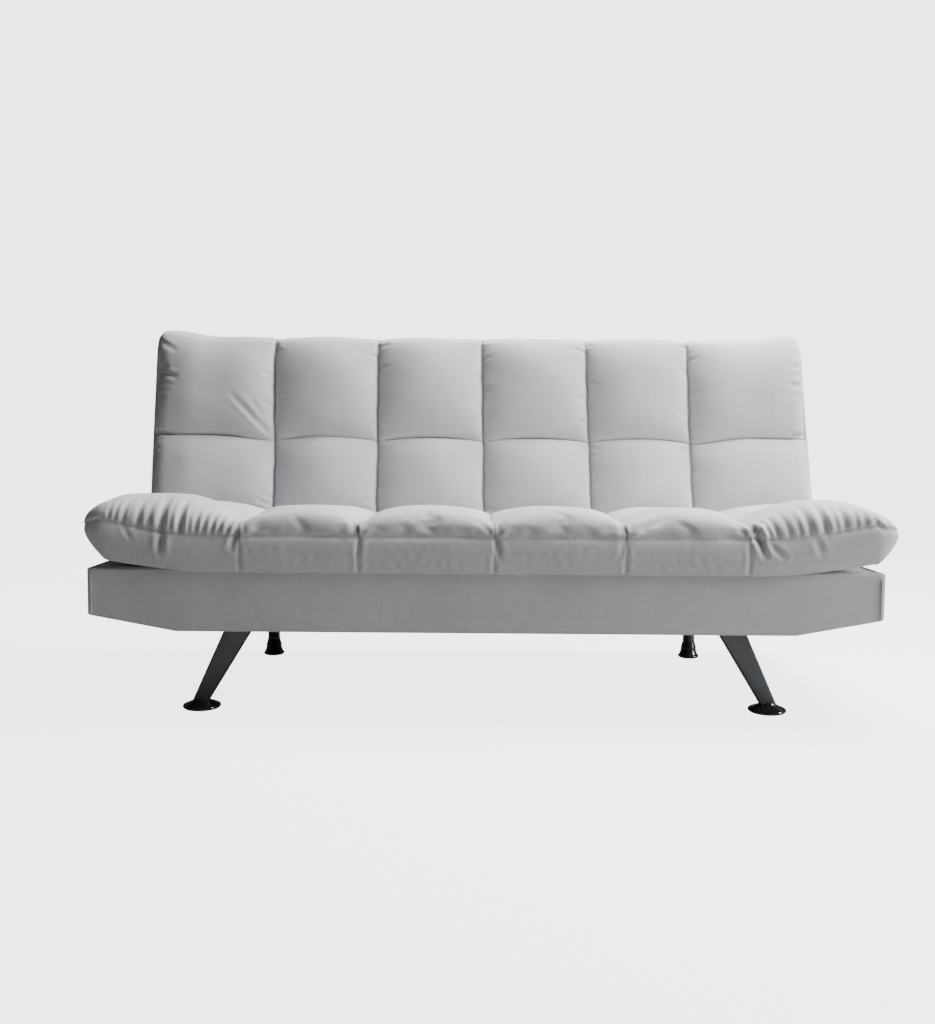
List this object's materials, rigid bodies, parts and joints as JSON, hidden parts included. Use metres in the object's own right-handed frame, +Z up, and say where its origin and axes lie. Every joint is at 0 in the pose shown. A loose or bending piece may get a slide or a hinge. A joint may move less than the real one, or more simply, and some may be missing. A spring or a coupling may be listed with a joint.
{
  "type": "click clack sofa bed",
  "caption": "Armless click clack sofa bed with a tufted seat and reclining tufted back on ratchet hinges, upholstered box base, splayed front legs and straight rear posts.",
  "frame": {"origin": "on the floor, under the middle of the sofa's plan", "axes": "+X along the sofa towards its right end as seen from the front, -Y the front, +Z up"},
  "size_m": [1.844, 0.8009, 0.9176],
  "materials": {
    "timber": "sawn softwood, unfinished",
    "slat_wood": "laminated beech, lightly sealed",
    "board": "thin board under a felt",
    "cushion_fabric": "off-white woven upholstery cloth, matt",
    "base_fabric": "off-white woven upholstery cloth pulled tight, matt",
    "lining": "black spun lining",
    "foam": "cream foam slab",
    "slat_holder": "black moulded plastic",
    "rubber": "black rubber, matt",
    "leg_paint": "slate grey front with gloss black edges",
    "post_black": "gloss black",
    "foot_black": "black chrome, polished",
    "glide": "hard plastic glide",
    "hinge_steel": "black coated pressed steel",
    "zinc_steel": "zinc plated fasteners and pins",
    "spring_steel": "spring steel"
  },
  "bodies": {
    "base": {"base_front_rail": "timber", "base_rear_rail": "timber", "base_left_end_rail": "timber", "base_right_end_rail": "timber", "base_hinge_beam": "timber", "base_leg_planks": "timber", "base_corner_blocks": "timber", "base_cover": "base_fabric", "base_dust_cover": "lining", "seat_deck": "board", "rear_deck": "board", "back_buffers": "rubber", "seat_slats": "slat_wood", "seat_slat_holders": "slat_holder", "seat_cushion": "cushion_fabric", "seat_foam": "foam", "front_left_leg": "leg_paint", "front_right_leg": "leg_paint", "rear_left_leg": "post_black", "rear_right_leg": "post_black", "front_feet": "foot_black", "rear_feet": "foot_black", "foot_glides": "glide", "leg_screws": "zinc_steel", "seat_arm_bolts": "zinc_steel", "left_seat_arm": "hinge_steel", "right_seat_arm": "hinge_steel", "left_pawl_pin": "zinc_steel", "right_pawl_pin": "zinc_steel", "left_pawl_spring": "spring_steel", "right_pawl_spring": "spring_steel"},
    "backrest": {"left_back_arm": "hinge_steel", "right_back_arm": "hinge_steel", "left_pivot_pin": "zinc_steel", "right_pivot_pin": "zinc_steel", "back_arm_bolts": "zinc_steel", "back_left_stile": "timber", "back_right_stile": "timber", "back_bottom_rail": "timber", "back_top_rail": "timber", "back_posts": "timber", "back_slats": "slat_wood", "back_slat_holders": "slat_holder", "back_foam": "foam", "back_cushion": "cushion_fabric", "back_cover": "cushion_fabric"},
    "left_pawl": {"left_pawl": "zinc_steel"},
    "right_pawl": {"right_pawl": "zinc_steel"}
  },
  "joints": [
    {"name": "backrest_recline", "type": "hinge", "parent": "base", "child": "backrest", "pos_m": [0, 0.18, 0.392], "axis": [-1, 0, 0], "range_deg": [-10, 77]},
    {"name": "left_pawl_click", "type": "hinge", "parent": "base", "child": "left_pawl", "pos_m": [-0.848, 0.21158, 0.34074], "axis": [-1, 0, 0], "range_deg": [0, 7], "stiffness_Nm_per_rad": 1, "deforming": ["left_pawl_spring"]},
    {"name": "right_pawl_click", "type": "hinge", "parent": "base", "child": "right_pawl", "pos_m": [0.848, 0.21158, 0.34074], "axis": [-1, 0, 0], "range_deg": [0, 7], "stiffness_Nm_per_rad": 1, "deforming": ["right_pawl_spring"]}
  ],
  "couplings": [
    {"joint": "right_pawl_click", "follows": "left_pawl_click", "ratio": 1}
  ]
}
